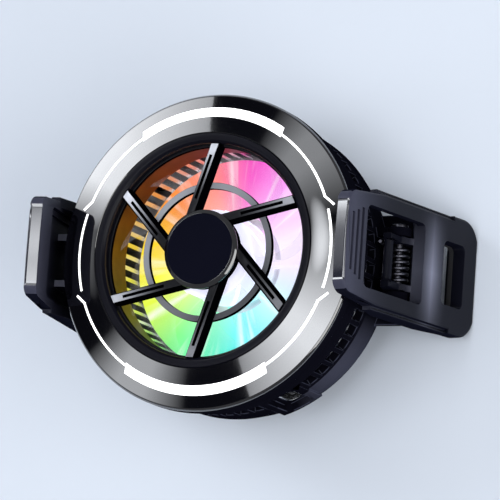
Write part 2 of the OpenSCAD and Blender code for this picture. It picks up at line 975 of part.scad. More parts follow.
module fan_rotor() {
    boss_h = 0.9;
    color("white", 0.6)
        difference() {
            union() {
                difference() {
                    translate([0, 0, z_rotor_foot])
                        cylinder(r = rotor_hub_r, h = z_rotor_top - z_rotor_foot);
                    translate([0, 0, z_rotor_foot - 1])
                        cylinder(r = rotor_hub_r - rotor_wall_t,
                            h = z_rotor_top - z_rotor_foot - rotor_top_t + 1);
                }
                translate([0, 0, z_rotor_top - rotor_top_t - boss_h])
                    cylinder(r = shaft_r + 1.2, h = boss_h + EPS);
                for (i = [0:blade_count - 1])
                    rotate(i * 360 / blade_count)
                        translate([0, 0, z_rotor_top - 0.6 - blade_h])
                            blade();
            }
            translate([0, 0, z_rotor_top - rotor_top_t - boss_h - 1])
                cylinder(r = shaft_r + seat_gap, h = boss_h + rotor_top_t + 0.5);
        }
}

module rotor_magnet() {
    color("dimgray")
        ring(magnet_r - magnet_t, magnet_r, z_rotor_foot + 0.5, z_rotor_top - rotor_top_t);
}

module fan_shaft() {
    color(metal)
        translate([0, 0, z_floor + motor_foot_t + 0.3])
            cylinder(r = shaft_r, h = z_rotor_top - 0.5 - z_floor - motor_foot_t - 0.3);
}

module shaft_clip() {
    z0 = z_floor + motor_foot_t + 0.6;
    color(metal)
        ring(shaft_r + seat_gap / 2, shaft_r + 0.75, z0, z0 + 0.4);
}

module shaft_bearing() {
    color(copper)
        ring(shaft_r + bearing_gap, bearing_r, z_floor + motor_foot_t + 1.2, z_tube_top - 0.2);
}

module motor_base() {
    color(dark)
        difference() {
            union() {
                translate([0, 0, z_floor])
                    cylinder(r = motor_foot_r, h = motor_foot_t);
                translate([0, 0, z_floor])
                    cylinder(r = tube_r, h = z_tube_top - z_floor);
            }
            translate([0, 0, z_floor + motor_foot_t])
                cylinder(r = bearing_r + seat_gap / 2, h = z_tube_top - z_floor);
        }
}

module motor_board() {
    color(board_green)
        ring(motor_foot_r + seat_gap, motor_board_r, z_floor, z_floor + 0.8);
}

module glow_leds() {
    depth = plate_in_r - motor_board_r - 2 * seat_gap;
    color(lit_white)
        around(8, motor_board_r + seat_gap)
            translate([0, -led_w / 2, z_floor])
                cube([depth, led_w, light_plate_t]);
}

module stator_core() {
    color("gray")
        translate([0, 0, z_stator + 0.8])
            linear_extrude(stator_h - 1.6) {
                difference() {
                    circle(r = tube_r + 1);
                    circle(r = tube_r + seat_gap);
                }
                for (i = [0:pole_count - 1])
                    rotate(i * 360 / pole_count) {
                        translate([tube_r + 0.6, -pole_w / 2])
                            square([stator_r - tube_r - 1, pole_w]);
                        sector(stator_r - shoe_t, stator_r, -shoe_half_turn, shoe_half_turn);
                    }
            }
}

module stator_coils() {
    color(copper)
        around(pole_count, coil_in_r)
            difference() {
                translate([0, -coil_half_w, z_stator])
                    cube([coil_depth, 2 * coil_half_w, stator_h]);
                translate([-1, -pole_w / 2 - seat_gap, z_stator + 0.8 - seat_gap])
                    cube([coil_depth + 2, pole_w + 2 * seat_gap, stator_h - 1.6 + 2 * seat_gap]);
            }
}

// Claws

module in_claw_frame() {
    translate([claw_x, 0, z_claw])
        rotate([0, -claw_slant, 0])
            children();
}

// An outline across the claw and along it, extruded from one depth to another
module slab(v0, v1) {
    translate([-v1, 0, 0])
        rotate([90, 0, 90])
            linear_extrude(v1 - v0)
                mirror([0, 1])
                    children();
}

// A side view of the claw, extruded across it
module rib(y0, y1) {
    translate([0, y1, 0])
        rotate([90, 0, 0])
            linear_extrude(y1 - y0)
                children();
}

module panel_2d(h, front_w) {
    half = h / 2;
    side = half - ledge_w;
    reach = claw_len + 0.2;
    corner = tip_corner_r;
    shoulder = half - shoulder_inset;
    front_r = shoulder - front_w / 2;
    right = [
        [front_w / 2, 0],
        [shoulder, front_r],
        [side, flange_from],
        [side, tail_u],
        [half, tail_u],
        [half, reach - corner],
        [half - corner, reach]
    ];
    left = [for (i = [len(right) - 1:-1:0]) [-right[i][0], right[i][1]]];
    polygon(concat(right, left));
    for (sign = [-1, 1]) {
        translate([sign * (half - corner), reach - corner])
            circle(r = corner);
        translate([sign * front_w / 2, front_r])
            circle(r = front_r);
    }
}

module tip_slot_2d() {
    translate([0, tip_slot_end - tip_slot_len / 2])
        rounded(tip_slot_w, tip_slot_len, 1.2);
}

module window_2d(extra) {
    translate([0, window_start + window_len / 2])
        rounded(window_w + 2 * extra, window_len, window_corner_r);
}

module claw_panel(h, front_w, blank) {
    difference() {
        slab(0, panel_t)
            panel_2d(h, front_w);
        slab(blank > 0 ? blank : -1, panel_t + 1)
            window_2d(0);
        slab(relief_at, panel_t + 1)
            window_2d(relief_w);
        slab(-1, panel_t + 1)
            tip_slot_2d();
        for (i = [0:grip_count - 1])
            slab(-1, grip_depth)
                translate([0, grip_start + i * grip_pitch])
                    square([front_w - 3 + i * 1.3, grip_w], center = true);
    }
}

module flange_2d() {
    polygon([
        claw_point(flange_from, ledge_w),
        claw_point(tail_u + 1, ledge_w),
        claw_point(tail_u + 1, panel_t),
        claw_point(window_end + 4, flange_depth),
        claw_point(flange_from + 5.5, flange_depth),
        claw_point(flange_from + 0.5, panel_t),
        claw_point(flange_from, panel_t)
    ]);
}

module lug_2d(arm) {
    root = panel_t - 0.4;
    polygon([
        claw_point(pin_u + 1, pin_v + boss_r - 0.25),
        claw_point(window_end + 5.2, root),
        claw_point(window_end + 0.4, root),
        claw_point(pin_u - boss_r + 0.1, pin_v - 0.6)
    ]);
    polygon(arm);
    translate(claw_point(pin_u, pin_v))
        circle(r = boss_r);
}

// Lug arms: the right one holds the spring's bar, and the left one also meets the blank window
right_arm = [
    claw_point(pin_u - 0.5, pin_v + boss_r - 0.1),
    claw_point(bar_u - 0.6, bar_v + bar_r),
    claw_point(bar_u - 0.6, bar_v - bar_r),
    claw_point(pin_u - 1.5, pin_v - boss_r + 0.6)
];
left_arm = [
    claw_point(pin_u - 0.5, pin_v + boss_r - 0.1),
    claw_point(bar_u, bar_v + bar_r),
    claw_point(left_lug_u, bar_v - bar_r),
    claw_point(left_lug_u, blank_t - 0.1),
    claw_point(window_end + 0.4, blank_t - 0.1),
    claw_point(window_end + 0.4, pin_v - 1)
];

module claw(h, front_w, blank, arm) {
    half = h / 2;
    difference() {
        intersection() {
            in_claw_frame() {
                claw_panel(h, front_w, blank);
                rib(half - flange_w, half)
                    flange_2d();
                rib(-half, -half + flange_w)
                    flange_2d();
                rib(lug_y, lug_y + lug_t)
                    lug_2d(arm);
                rib(-lug_y - lug_t, -lug_y)
                    lug_2d(arm);
                rib(-lug_y - EPS, lug_y + EPS)
                    translate(claw_point(bar_u, bar_v))
                        circle(r = bar_r);
                slab(panel_t - EPS, panel_t + lip_reach)
                    intersection() {
                        panel_2d(h, front_w);
                        translate([-half, claw_len - lip_t - 0.35])
                            square([h, lip_t + 1]);
                    }
            }
            translate([0, -half - 1, 0])
                cube([2 * claw_x, h + 2, z_claw + 1]);
        }
        translate([pin_x, 0, pin_z])
            rotate([90, 0, 0])
                cylinder(r = pin_r + hinge_gap, h = 2 * pin_end_y, center = true);
    }
}

module jaw_pad(h) {
    pad_w = h - 2 * pad_inset;
    in_claw_frame()
        slab(panel_t, panel_t + pad_t)
            difference() {
                translate([0, (pad_from + pad_to) / 2])
                    rounded(pad_w, pad_to - pad_from, 1.5);
                tip_slot_2d();
            }
}

module right_claw() {
    color(dark)
        claw(right_h, right_front_w, 0, right_arm);
}

module left_claw() {
    color(dark)
        mirror([1, 0, 0])
            claw(left_h, left_front_w, blank_t, left_arm);
}

module right_jaw_pad() {
    color(rubber)
        jaw_pad(right_h);
}

module left_jaw_pad() {
    color(rubber)
        mirror([1, 0, 0])
            jaw_pad(left_h);
}

// Hinges

module hinge_pin() {
    translate([pin_x, 0, pin_z])
        rotate([90, 0, 0]) {
            cylinder(r = pin_r, h = 2 * pin_end_y, center = true);
            for (end = [0, 1])
                mirror([0, 0, end])
                    translate([0, 0, pin_end_y - EPS])
                        cylinder(r = pin_head_r, h = pin_head_h);
        }
}

module right_hinge_pin() {
    color(metal)
        hinge_pin();
}

module left_hinge_pin() {
    color(metal)
        mirror([1, 0, 0])
            hinge_pin();
}

module torsion_spring() {
    rings = len(spring_path);
    last = (rings - 1) * wire_sides;
    points = [
        for (p = spring_path, k = [0:wire_sides - 1])
            let (a = k * 360 / wire_sides)
            [
                p[0] + wire_r * cos(a) * cos(p[3]),
                p[1] + wire_r * sin(a),
                p[2] + wire_r * cos(a) * sin(p[3])
            ]
    ];
    sides = [
        for (i = [0:rings - 2], k = [0:wire_sides - 1])
            let (a = i * wire_sides + k, b = i * wire_sides + (k + 1) % wire_sides)
            each [[a, b, b + wire_sides], [a, b + wire_sides, a + wire_sides]]
    ];
    ends = [
        for (k = [1:wire_sides - 2])
            each [[0, k + 1, k], [last, last + k, last + k + 1]]
    ];
    translate([pin_x, 0, pin_z])
        polyhedron(points, concat(sides, ends));
}

module right_spring() {
    color(metal)
        torsion_spring();
}

module left_spring() {
    color(metal)
        mirror([1, 0, 0])
            torsion_spring();
}

// Fasteners

module case_screws() {
    color(metal)
        screw_places()
            screw(z_back + screw_head_h, z_web - 1.5);
}

module plate_screws() {
    color(metal)
        around(screw_count, plate_screw_r)
            screw(z_cold + screw_gap + screw_head_h, z_floor - 0.6);
}

rear_shell();
vent_ring();
front_bezel();
inner_ring();
grille();
hub_cap();
top_light_guide();
bottom_light_guide();
left_light_guide();
right_light_guide();
led_board();
bezel_leds();
light_plate();
heat_sink();
motor_base();
motor_board();
glow_leds();
shaft_bearing();
stator_core();
stator_coils();
fan_rotor();
rotor_magnet();
fan_shaft();
shaft_clip();
hot_ceramic();
peltier_pellets();
cold_ceramic();
insulation_ring();
cold_plate();
rear_cushion();
control_board();
control_chips();
usb_socket();
usb_tongue();
right_claw();
left_claw();
right_jaw_pad();
left_jaw_pad();
right_hinge_pin();
left_hinge_pin();
right_spring();
left_spring();
case_screws();
plate_screws();
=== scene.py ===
"""Fine shapes, finishes and stage for a clip-on phone cooler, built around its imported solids."""

import json
import math

import bmesh
import bpy
from bpy.props import FloatProperty, FloatVectorProperty, IntProperty, PointerProperty
from mathutils import Matrix, Vector

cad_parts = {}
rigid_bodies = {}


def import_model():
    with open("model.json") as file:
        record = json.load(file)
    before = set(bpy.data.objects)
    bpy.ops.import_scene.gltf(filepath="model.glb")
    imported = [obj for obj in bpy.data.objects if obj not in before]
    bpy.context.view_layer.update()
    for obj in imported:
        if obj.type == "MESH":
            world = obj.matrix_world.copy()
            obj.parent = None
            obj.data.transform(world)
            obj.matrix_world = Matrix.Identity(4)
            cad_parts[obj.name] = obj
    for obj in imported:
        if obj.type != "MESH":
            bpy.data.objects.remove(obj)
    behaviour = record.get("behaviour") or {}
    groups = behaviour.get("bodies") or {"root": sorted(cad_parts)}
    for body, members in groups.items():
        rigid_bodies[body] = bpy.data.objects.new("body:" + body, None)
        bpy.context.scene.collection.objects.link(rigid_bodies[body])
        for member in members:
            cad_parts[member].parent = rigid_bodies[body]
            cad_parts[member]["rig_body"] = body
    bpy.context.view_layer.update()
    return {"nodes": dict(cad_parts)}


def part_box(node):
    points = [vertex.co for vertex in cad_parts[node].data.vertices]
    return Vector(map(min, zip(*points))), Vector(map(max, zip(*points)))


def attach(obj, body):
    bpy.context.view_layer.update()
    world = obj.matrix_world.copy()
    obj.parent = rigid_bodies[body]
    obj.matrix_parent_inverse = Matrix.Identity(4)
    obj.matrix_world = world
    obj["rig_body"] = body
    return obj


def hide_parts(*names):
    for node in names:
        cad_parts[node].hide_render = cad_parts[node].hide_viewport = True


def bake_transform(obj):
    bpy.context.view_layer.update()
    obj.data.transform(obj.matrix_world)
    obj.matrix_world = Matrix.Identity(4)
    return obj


bl_info = {
    "name": "Phone cooler looks",
    "version": (1, 0, 0),
    "blender": (4, 5, 0),
    "location": "3D View > Sidebar > Cooler",
    "description": "Fine shapes, finishes and stage for a clip-on phone cooler",
    "category": "Object",
}

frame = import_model()
MM = 0.001
# Angle in degrees from which an edge counts as sharp
SHARP = 38.0
# Fall of the bezel's cone, gap between its lip and the ring inside, radius of the fan opening
CONE_DROP = 2.0 * MM
LIP_GAP = 0.05 * MM
OPENING = 20.3 * MM


def span(node):
    """Outer radius, foot and top of a round node."""
    low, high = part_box(node)
    return (high.x - low.x) / 2, low.z, high.z


def linear(red, green, blue):
    """A screen colour, of 0 to 255, as the colour that the shader takes."""
    shares = (channel / 255 for channel in (red, green, blue))
    return tuple(s / 12.92 if s < 0.0405 else ((s + 0.055) / 1.055) ** 2.4 for s in shares)


class CoolerSizes(bpy.types.PropertyGroup):
    """Sizes of the fine shapes."""

    turn_steps: IntProperty(
        name="Turn steps", description="Steps around a turned ring", default=240, min=48, max=512)
    bezel_round: FloatProperty(
        name="Bezel rounding", description="Rounding of the bezel's edges",
        default=0.16 * MM, min=0.02 * MM, max=0.5 * MM, precision=5, unit="LENGTH")
    shell_round: FloatProperty(
        name="Housing rounding", description="Rounding of the housing's edges",
        default=0.14 * MM, min=0.02 * MM, max=0.4 * MM, precision=5, unit="LENGTH")
    claw_round: FloatProperty(
        name="Claw rounding", description="Rounding of the claws' outer edges",
        default=0.6 * MM, min=0.1 * MM, max=0.8 * MM, precision=5, unit="LENGTH")
    grille_round: FloatProperty(
        name="Grille rounding", description="Rounding of the grille's edges",
        default=0.1 * MM, min=0.02 * MM, max=0.3 * MM, precision=5, unit="LENGTH")
    line_proud: FloatProperty(
        name="Line height", description="Height of the light lines above the cone",
        default=0.1 * MM, min=0.0, max=0.3 * MM, precision=5, unit="LENGTH")
    line_inset: FloatProperty(
        name="Line inset", description="Distance of the light lines inside the bezel's edge",
        default=4.1 * MM, min=3 * MM, max=6 * MM, precision=5, unit="LENGTH")
    line_width: FloatProperty(
        name="Line width", description="Width of the narrow light lines",
        default=0.4 * MM, min=0.3 * MM, max=1.2 * MM, precision=5, unit="LENGTH")
    wide_width: FloatProperty(
        name="Wide line width", description="Width of the wide stretches",
        default=1.8 * MM, min=1 * MM, max=2.4 * MM, precision=5, unit="LENGTH")
    wire_radius: FloatProperty(
        name="Spring wire radius", description="Radius of the springs' wire",
        default=0.325 * MM, min=0.2 * MM, max=0.4 * MM, precision=5, unit="LENGTH")


class CoolerColours(bpy.types.PropertyGroup):
    """Colours of the finishes."""

    gloss_black: FloatVectorProperty(
        name="Gloss black", description="Polished plastic of the bezel and the hub's rim",
        default=linear(5, 5, 10), min=0, max=1, size=3, subtype="COLOR")
    satin_dark: FloatVectorProperty(
        name="Satin dark", description="Moulded plastic of the claws and the port's tongue",
        default=linear(15, 16, 26), min=0, max=1, size=3, subtype="COLOR")
    ring_grey: FloatVectorProperty(
        name="Ring grey", description="Moulded plastic of the vent ring",
        default=linear(14, 14, 22), min=0, max=1, size=3, subtype="COLOR")
    # Colour of the painted highlight on the spokes' outer ends
    grille_grey: FloatVectorProperty(
        name="Grille grey", description="Bright outer ends of the spokes",
        default=linear(226, 229, 238), min=0, max=1, size=3, subtype="COLOR")
    line_white: FloatVectorProperty(
        name="Line white", description="Light of the lines in the bezel",
        default=(1.0, 1.0, 1.0), min=0, max=1, size=3, subtype="COLOR")
    floor_pale: FloatVectorProperty(
        name="Floor", description="Floor that the cooler lies on",
        default=linear(210, 217, 227), min=0, max=1, size=3, subtype="COLOR")


def sizes():
    return bpy.context.scene.cooler_sizes


def colours():
    return bpy.context.scene.cooler_colours


# Shaders


def plug(tree, socket, value):
    """Links a value to a socket, or sets the socket."""
    if isinstance(value, Value):
        tree.links.new(value.socket, socket)
    elif hasattr(value, "__len__") and len(socket.default_value) == 4 and len(value) == 3:
        socket.default_value = (*value, 1.0)
    else:
        socket.default_value = value


class Value:
    """What comes out of a node, for use in plain sums."""

    def __init__(self, tree, socket):
        self.tree = tree
        self.socket = socket

    def math(self, operation, *terms):
        node = self.tree.nodes.new("ShaderNodeMath")
        node.operation = operation
        for socket, term in zip(node.inputs, terms):
            plug(self.tree, socket, term)
        return Value(self.tree, node.outputs[0])

    def __add__(self, other):
        return self.math("ADD", self, other)

    def __sub__(self, other):
        return self.math("SUBTRACT", self, other)

    def __rsub__(self, other):
        return self.math("SUBTRACT", other, self)

    def __mul__(self, other):
        return self.math("MULTIPLY", self, other)

    def __truediv__(self, other):
        return self.math("DIVIDE", self, other)

    def __pow__(self, other):
        return self.math("POWER", self, other)

    __radd__ = __add__
    __rmul__ = __mul__

    def over(self, limit):
        return self.math("GREATER_THAN", self, limit)

    def held(self):
        return self.math("MINIMUM", self.math("MAXIMUM", self, 0.0), 1.0)


class Nodes:
    """A node tree and the ways to add to it."""

    def __init__(self, owner, shader):
        owner.use_nodes = True
        self.tree = owner.node_tree
        self.shader = next(n for n in self.tree.nodes if n.type == shader)

    def node(self, kind, settings=(), sockets=(), output=0):
        made = self.tree.nodes.new("ShaderNode" + kind)
        for key, value in dict(settings).items():
            if key == "stops":
                ramp = made.color_ramp.elements
                for index, (place, colour) in enumerate(value):
                    stop = ramp[index] if index < 2 else ramp.new(place)
                    stop.position = place
                    stop.color = (*colour, 1.0)
            else:
                setattr(made, key, value)
        for key, value in dict(sockets).items():
            plug(self.tree, made.inputs[key], value)
        return Value(self.tree, made.outputs[output])

    def place(self):
        return self.node("TexCoord", output="Object")

    def parts(self, vector):
        split = self.tree.nodes.new("ShaderNodeSeparateXYZ")
        plug(self.tree, split.inputs[0], vector)
        return [Value(self.tree, out) for out in split.outputs]

    def vector(self, operation, *terms):
        return self.node("VectorMath", {"operation": operation}, dict(enumerate(terms)))

    def stretched(self, scale):
        return self.node("Mapping", sockets={"Vector": self.place(), "Scale": scale})

    def noise(self, scale, detail, vector=None):
        return self.node("TexNoise", sockets={
            "Vector": vector or self.place(), "Scale": scale, "Detail": detail})

    def mixed(self, share, first, second):
        node = self.tree.nodes.new("ShaderNodeMix")
        node.data_type = "RGBA"
        plug(self.tree, node.inputs[0], share)
        plug(self.tree, node.inputs[6], first)
        plug(self.tree, node.inputs[7], second)
        return Value(self.tree, node.outputs[2])

    def bump(self, height, strength, depth):
        return self.node("Bump", sockets={"Height": height, "Strength": strength, "Distance": depth})

    def surface(self, sockets):
        for key, value in sockets.items():
            plug(self.tree, self.shader.inputs[key], value)


class Finish(Nodes):
    """A material and the nodes that shape it."""

    def __init__(self, name):
        self.material = bpy.data.materials.new(name)
        super().__init__(self.material, "BSDF_PRINCIPLED")

    def surface(self, sockets):
        super().surface(sockets)
        return self.material


def shade(colour, factor):
    return tuple(min(1.0, c * factor) for c in colour)


def gloss_finish(name, colour):
    """Polished plastic with a clear coat and a faint ripple."""
    made = Finish(name)
    cloud = made.noise(45.0, 2.0)
    ripple = made.noise(420.0, 2.0)
    return made.surface({
        "Base Color": made.mixed(cloud, shade(colour, 0.8), shade(colour, 1.25)),
        "Roughness": 0.05 + cloud * 0.04,
        "Specular IOR Level": 0.9,
        "Coat Weight": 1.0,
        "Coat Roughness": 0.03,
        "Coat IOR": 1.75,
        "Normal": made.bump(ripple, 0.02, 0.00002),
    })


def satin_finish(name, colour, rough, grain, shine):
    """Moulded plastic with a fine spark-eroded grain."""
    made = Finish(name)
    cloud = made.noise(60.0, 3.0)
    fine = made.noise(5200.0, 2.0)
    return made.surface({
        "Base Color": made.mixed(cloud, shade(colour, 0.82), shade(colour, 1.2)),
        "Roughness": rough - 0.06 + cloud * 0.12,
        "Specular IOR Level": shine,
        "Normal": made.bump(fine, grain, 0.00002),
    })


def polished_finish(name, colour):
    """Plastic rubbed bright, along edges."""
    made = Finish(name)
    cloud = made.noise(60.0, 3.0)
    return made.surface({
        "Base Color": made.mixed(cloud, shade(colour, 0.8), shade(colour, 1.25)),
        "Roughness": 0.1 + cloud * 0.06,
        "Specular IOR Level": 1.0,
        "Coat Weight": 1.0,
        "Coat Roughness": 0.1,
        "Coat IOR": 1.75,
    })


def claw_finish(name, colour):
    """Moulded plastic of the claws, with a painted highlight in a band below the window and painted light
    towards the front end.
    """
    made = Finish(name)
    cloud = made.noise(60.0, 3.0)
    fine = made.noise(5200.0, 2.0)
    _, y, z = made.parts(made.place())
    band_height, band_half = 15.0 * MM, 5.5 * MM
    band_middle, band_reach = -1.0 * MM, 12.0 * MM
    front_from, front_length = 26.0 * MM, 15.0 * MM
    # Painted highlight: a band below the window is painted paler
    along = (1.0 - z.math("ABSOLUTE", z - band_height) / band_half).held()
    across = (1.0 - z.math("ABSOLUTE", y - band_middle) / band_reach).held()
    band_painted_highlight = along * along * across
    # Painted light: the paint turns paler towards the front end
    front = ((z - front_from) / front_length).held()
    plastic = made.mixed(cloud, shade(colour, 0.82), shade(colour, 1.2))
    tone = made.mixed(front * front, plastic, linear(62, 63, 78))
    return made.surface({
        "Base Color": made.mixed(band_painted_highlight, tone, linear(128, 130, 148)),
        "Roughness": 0.36 + cloud * 0.1,
        "Specular IOR Level": 0.1,
        "Normal": made.bump(fine, 0.1, 0.00002),
    })


def spoke_finish(name, colour):
    """Spokes with a painted highlight that grows from dark at the hub to bright at the rim, most at the
    upper left, and a weaker one on the mid ring.
    """
    made = Finish(name)
    cloud = made.noise(60.0, 3.0)
    x, y, z = made.parts(made.place())
    reach = (x * x + y * y) ** 0.5
    dark_until, bright_over = 9.0 * MM, 10.5 * MM
    ring_top, ring_edge, spoke_foot = 33.3 * MM, 15.0 * MM, 34.5 * MM
    # Painted highlight: brighter towards the rim and on the side towards the upper left, weaker on the mid
    # ring
    facing = 0.6 + 0.4 * (y * 0.766 - x * 0.643) / reach
    rim_painted_highlight = ((reach - dark_until) / bright_over).held()
    ring = 1.0 - z.over(ring_top)
    rim = reach.over(ring_edge) * (1.0 - z.over(spoke_foot))
    share = facing * (rim_painted_highlight * rim_painted_highlight * (1.0 - ring) + 0.4 * ring) * (1.0 - rim)
    return made.surface({
        "Base Color": made.mixed(share, linear(10, 10, 16), colour),
        "Roughness": 0.3 + cloud * 0.1,
        "Specular IOR Level": 0.15,
    })


def shell_finish(name, colour, pale):
    """Moulded plastic of the rear shell, with a painted highlight on the side below the right claw."""
    made = Finish(name)
    cloud = made.noise(60.0, 3.0)
    x, y, _ = made.parts(made.place())
    pale_from, pale_over = 0.92, 0.08
    # Painted highlight: paler on the side that faces below the right claw
    facing = (x * 0.743 - y * 0.669) / (x * x + y * y) ** 0.5
    return made.surface({
        "Base Color": made.mixed(((facing - pale_from) / pale_over).held(), colour, pale),
        "Roughness": 0.3 + cloud * 0.1,
        "Specular IOR Level": 0.0,
    })


def wall_finish(name):
    """Smoked wall around the fan, with the glow's colours painted in as a painted reflection of the glow.
    """
    made = Finish(name)
    cloud = made.noise(260.0, 3.0)
    # Painted reflection: the glow's colour, made warmer, goes into the wall's base colour
    colour, _, _ = glow(made)
    warm = made.mixed(0.65, colour, linear(214, 104, 34))
    return made.surface({
        "Base Color": made.mixed(0.7 + cloud * 0.2, warm, (0.0, 0.0, 0.0)),
        "Roughness": 0.3 + cloud * 0.1,
        "Specular IOR Level": 0.05,
    })


def lit_finish(name, colour, strength):
    """Diffusing plastic, lit from inside."""
    made = Finish(name)
    cloud = made.noise(300.0, 2.0)
    return made.surface({
        "Base Color": made.mixed(cloud, shade(colour, 0.92), colour),
        "Roughness": 0.3 + cloud * 0.1,
        "Emission Color": made.mixed(cloud, shade(colour, 0.95), colour),
        "Emission Strength": strength,
    })


GLOW = [
    (0.0, linear(236, 218, 252)),
    (0.06, linear(246, 226, 255)),
    (0.15, linear(246, 160, 248)),
    (0.23, linear(238, 62, 190)),
    (0.3, linear(250, 128, 120)),
    (0.39, linear(240, 140, 40)),
    (0.5, linear(248, 226, 40)),
    (0.565, linear(214, 240, 70)),
    (0.64, linear(126, 238, 130)),
    (0.72, linear(90, 236, 190)),
    (0.79, linear(60, 232, 246)),
    (0.88, linear(176, 244, 255)),
    (1.0, linear(236, 218, 252)),
]


def glow(made):
    """The colour that runs around the fan's axis, with its turn and the distance from the axis."""
    x, y, _ = made.parts(made.place())
    turn = x.math("ARCTAN2", y, x) / (2 * math.pi)
    turn = turn.math("FRACT", turn + 1.0)
    return made.node("ValToRGB", {"stops": GLOW}, {"Fac": turn}), turn, (x * x + y * y) ** 0.5


def glow_finish(name):
    """Glowing floor with bright streaks from the hub, painted reflections of the fan's blades."""
    made = Finish(name)
    colour, turn, reach = glow(made)
    spread = made.node("CombineXYZ", sockets={"X": turn * 46.0, "Y": reach * 40.0, "Z": 0.0})
    # Painted reflection: white streaks in the emission, for the blades' reflections
    painted_streak = ((made.noise(1.0, 2.0, spread) - 0.5) * 4.5).held()
    pale_from, pale_length = 9.0 * MM, 8.0 * MM
    pale = (1.0 - (reach - pale_from) / pale_length).held()
    white = painted_streak.math("MAXIMUM", painted_streak * 0.65, pale * 0.25)
    bright = made.mixed(white, colour, (1.0, 1.0, 1.0))
    return made.surface({
        "Base Color": made.mixed(0.85, colour, (0.0, 0.0, 0.0)),
        "Roughness": 0.35 + painted_streak * 0.2,
        "Emission Color": bright,
        "Emission Strength": 1.12,
    })


def clear_finish(name):
    """Clear fan plastic with a milky trace, and a hub with a painted glow for the light from below."""
    made = Finish(name)
    cloud = made.noise(160.0, 2.0)
    x, y, _ = made.parts(made.place())
    hub_radius = 8.6 * MM
    hub = 1.0 - ((x * x + y * y) ** 0.5).over(hub_radius)
    return made.surface({
        "Base Color": made.mixed(cloud, (0.7, 0.72, 0.76), (0.9, 0.91, 0.93)),
        "Roughness": 0.2 + cloud * 0.1,
        "Specular IOR Level": 0.3,
        # Painted glow: the hub emits a pale light, standing in for light from below
        "Emission Color": made.mixed(hub, (0.0, 0.0, 0.0), linear(222, 220, 246)),
        "Emission Strength": 0.7,
        "Alpha": 0.04 + cloud * 0.06 + hub * 0.86,
    })


def metal_finish(name, colour, rough):
    """Bare metal with a drawn grain."""
    made = Finish(name)
    grain = made.noise(1.0, 4.0, made.stretched((700.0, 700.0, 40.0)))
    return made.surface({
        "Base Color": made.mixed(grain, shade(colour, 0.8), shade(colour, 1.08)),
        "Metallic": 1.0,
        "Roughness": rough - 0.08 + grain * 0.16,
        "Normal": made.bump(grain, 0.08, 0.00002),
    })


def plain_finish(name, colour, rough, grain_scale=900.0, depth=0.00004):
    """Rubber, foam, ceramic or board, told apart by colour and grain."""
    made = Finish(name)
    grain = made.noise(grain_scale, 4.0)
    return made.surface({
        "Base Color": made.mixed(grain, shade(colour, 0.75), shade(colour, 1.2)),
        "Roughness": rough - 0.08 + grain * 0.16,
        "Normal": made.bump(grain, 0.25, depth),
    })


def floor_finish(name, colour):
    """Plain, dull floor."""
    made = Finish(name)
    cloud = made.noise(6.0, 3.0)
    return made.surface({
        "Base Color": made.mixed(cloud, shade(colour, 0.97), shade(colour, 1.02)),
        "Roughness": 0.75 + cloud * 0.1,
        "Specular IOR Level": 0.2,
    })


_made = {}


def recipes():
    """How each finish is made: its maker and what that takes after the name."""
    tone = colours()
    return {
        "gloss_black": (gloss_finish, tone.gloss_black),
        "satin_dark": (satin_finish, tone.satin_dark, 0.3, 0.1, 0.2),
        "claw_satin": (claw_finish, tone.satin_dark),
        "claw_side": (satin_finish, linear(20, 21, 32), 0.4, 0.06, 0.0),
        # Painted light: pale paint on the upward faces of the left claw's lugs
        "claw_lug": (satin_finish, linear(140, 142, 160), 0.4, 0.06, 0.0),
        "polished_edge": (polished_finish, linear(30, 31, 42)),
        "cap_satin": (satin_finish, linear(8, 9, 22), 0.45, 0.05, 0.02),
        "lip_satin": (satin_finish, linear(10, 10, 19), 0.3, 0.05, 0.12),
        "grille_grey": (spoke_finish, tone.grille_grey),
        # Painted shade: near-black paint on the spokes' walls, the slots' floors and the walls behind the
        # fins
        "slot_black": (satin_finish, linear(3, 3, 5), 0.6, 0.04, 0.0),
        "ring_grey": (satin_finish, tone.ring_grey, 0.3, 0.05, 0.0),
        "shell_dark": (shell_finish, linear(12, 12, 20), linear(62, 63, 76)),
        "side_black": (satin_finish, linear(14, 14, 22), 0.3, 0.04, 0.0),
        # Painted highlight: pale paint along the rounded edges of the vent ring and rear shell
        "worn_edge": (satin_finish, linear(58, 60, 74), 0.4, 0.04, 0.0),
        "warm_wall": (wall_finish,),
        "line_white": (lit_finish, tone.line_white, 1.6),
        "lamp_white": (lit_finish, (1.0, 0.98, 0.95), 2.0),
        "glow_floor": (glow_finish,),
        "clear_plastic": (clear_finish,),
        "aluminium": (metal_finish, (0.78, 0.79, 0.81), 0.32),
        "steel": (metal_finish, (0.6, 0.61, 0.63), 0.25),
        "dark_steel": (metal_finish, (0.1, 0.1, 0.12), 0.3),
        "copper": (metal_finish, (0.78, 0.42, 0.22), 0.3),
        "board_green": (plain_finish, linear(20, 84, 52), 0.4, 700.0),
        "ceramic": (plain_finish, linear(236, 236, 230), 0.6),
        "foam": (plain_finish, linear(70, 70, 73), 0.85, 2200.0, 0.0001),
        "rubber": (plain_finish, linear(34, 34, 37), 0.75, 1800.0, 0.00006),
        "pale_floor": (floor_finish, tone.floor_pale),
    }


def finish(name):
    """The material of that name, made once."""
    if name not in _made:
        maker, *values = recipes()[name]
        _made[name] = maker(name, *values)
    return _made[name]


# Shapes


def finished(name, shape, material, body, *nodes, sharp=30.0, others=()):
    """Turns a bmesh into a piece that rides on a body and stands for some solids."""
    mesh = bpy.data.meshes.new(name)
    shape.to_mesh(mesh)
    shape.free()
    return placed(name, mesh, material, body, *nodes, sharp=sharp, others=others)


def placed(name, mesh, material, body, *nodes, sharp=30.0, others=()):
    """Makes a mesh a piece in the scene, with its first finish and others for some of its faces."""
    for each in (material, *others):
        mesh.materials.append(finish(each))
    mesh.polygons.foreach_set("use_smooth", [True] * len(mesh.polygons))
    mesh.set_sharp_from_angle(angle=math.radians(sharp))
    piece = bpy.data.objects.new(name, mesh)
    bpy.context.scene.collection.objects.link(piece)
    if body:
        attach(piece, body)
    if nodes:
        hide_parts(*nodes)
    return piece


